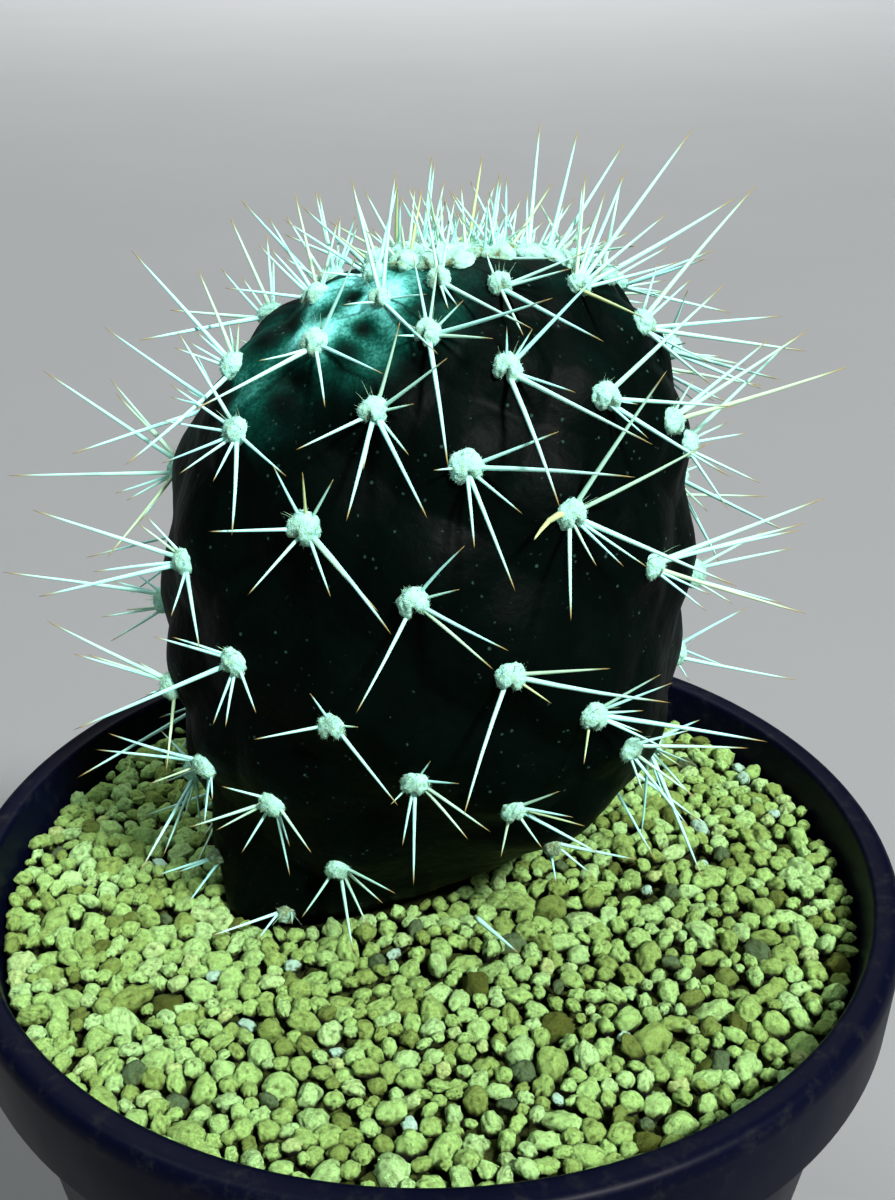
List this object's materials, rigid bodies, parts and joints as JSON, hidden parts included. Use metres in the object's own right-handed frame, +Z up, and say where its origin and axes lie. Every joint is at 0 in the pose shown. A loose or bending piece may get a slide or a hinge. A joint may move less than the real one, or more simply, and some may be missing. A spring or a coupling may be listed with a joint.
{
  "type": "potted prickly pear cactus",
  "caption": "Plump, round-jointed prickly pear with woolly areoles and long pale spines, standing in grit in a round tapered plastic pot.",
  "frame": {"origin": "centre of the pot's flat bottom", "axes": "+Z up along the pot's axis, -Y towards the viewer, +X to the viewer's right"},
  "size_m": [0.1066, 0.1066, 0.1642],
  "materials": {
    "cactus": "waxy green skin with pale bloom, cream wool and ivory spines",
    "grit": "dry crumbly mineral grains",
    "pot": "black moulded plastic, slightly dusty"
  },
  "bodies": {
    "root": {"cactus": "cactus", "grit": "grit", "pot": "pot"}
  },
  "joints": []
}
